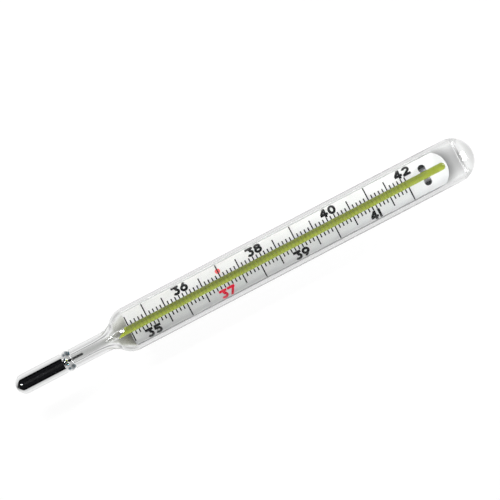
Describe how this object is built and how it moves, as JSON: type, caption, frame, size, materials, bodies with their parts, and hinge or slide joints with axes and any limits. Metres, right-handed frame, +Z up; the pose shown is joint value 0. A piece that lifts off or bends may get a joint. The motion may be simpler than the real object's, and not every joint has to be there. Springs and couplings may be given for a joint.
{
  "type": "clinical thermometer",
  "caption": "Enclosed-scale glass thermometer with a mercury bulb, a green-backed capillary on a white graduated plate and a round domed sheath; the mercury column rises to show body heat.",
  "frame": {"origin": "on the ground under the middle of the length, with the thermometer lying on its barrel", "axes": "+X along the glass from the bulb to the dome, +Z up out of the scale's face"},
  "size_m": [0.1228, 0.0108, 0.0109],
  "materials": {
    "clear_glass": "fire-polished clear glass",
    "capillary_glass": "clear drawn glass",
    "green_enamel": "yellow-green fused enamel",
    "mercury": "liquid metal that mirrors dark surroundings",
    "white_enamel": "white satin enamel",
    "spring_steel": "dark tempered steel",
    "black_ink": "fired black ink",
    "red_ink": "fired red ink"
  },
  "bodies": {
    "glass": {"sheath": "clear_glass", "bulb": "clear_glass", "weld_collar": "clear_glass", "capillary": "capillary_glass", "enamel_stripe": "green_enamel", "mercury_reservoir": "mercury", "mercury_thread": "mercury", "scale_plate": "white_enamel", "capillary_clip": "spring_steel", "degree_lines": "black_ink", "half_degree_lines": "black_ink", "tenth_lines": "black_ink", "numerals": "black_ink", "normal_numeral": "red_ink", "normal_spot": "red_ink"},
    "mercury_column": {"mercury_head": "mercury"}
  },
  "joints": [
    {"name": "mercury_rise", "type": "slide", "parent": "glass", "child": "mercury_column", "axis": [1, 0, 0], "range_m": [0, 0.0876], "deforming": ["mercury_thread"]}
  ]
}
